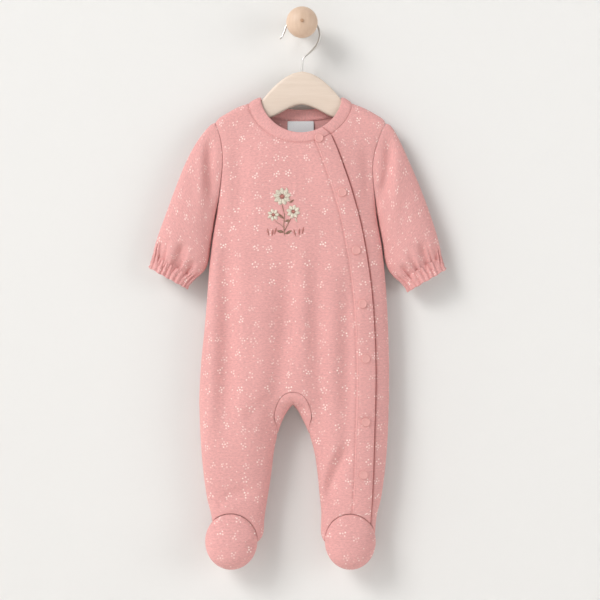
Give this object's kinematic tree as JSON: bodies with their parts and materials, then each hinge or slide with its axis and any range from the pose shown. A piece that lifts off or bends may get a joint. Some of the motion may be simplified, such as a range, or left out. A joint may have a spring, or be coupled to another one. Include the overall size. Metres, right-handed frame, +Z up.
{
  "type": "footed baby sleepsuit on a hanger with a wall peg",
  "caption": "Long-sleeved footed baby sleepsuit with a slanting snap closure, hung from a wire-hooked wooden hanger on a round wall peg.",
  "frame": {"origin": "centre of the wall peg's back face, where the peg meets the wall", "axes": "+Z up, +Y into the wall, so that the garment faces -Y; +X to the right as seen from the front"},
  "size_m": [0.3775, 0.0593, 0.7097],
  "materials": {
    "jersey": "soft matte cotton interlock, blush pink with a ditsy print of small pale dots",
    "binding": "soft matte cotton interlock binding, blush pink, topstitched",
    "label": "bare woven satin label",
    "snaps": "pink enamelled snap caps",
    "hanger_wood": "pale satin-lacquered wood",
    "hook_metal": "bright plated wire",
    "peg_wood": "turned pale wood, smooth",
    "plug_wood": "small wooden plug"
  },
  "bodies": {
    "root": {"front_panel": "jersey", "front_side_panel": "jersey", "front_side_panel_leg": "jersey", "back_panel_chest": "jersey", "back_panel_hips": "jersey", "back_panel_leg_left": "jersey", "back_panel_leg_right": "jersey", "placket_band": "jersey", "crotch_gusset": "jersey", "neck_binding": "binding", "sleeve_left": "jersey", "sleeve_right": "jersey", "cuff_left": "jersey", "cuff_right": "jersey", "vamp_left": "jersey", "vamp_right": "jersey", "sole_left": "jersey", "sole_right": "jersey", "neck_label": "label", "hanger_body": "hanger_wood", "hook_wire": "hook_metal", "wall_peg": "peg_wood", "peg_plug": "plug_wood", "snap_1": "snaps", "snap_2": "snaps", "snap_3": "snaps", "snap_4": "snaps", "snap_5": "snaps", "snap_6": "snaps", "snap_7": "snaps"}
  },
  "joints": []
}
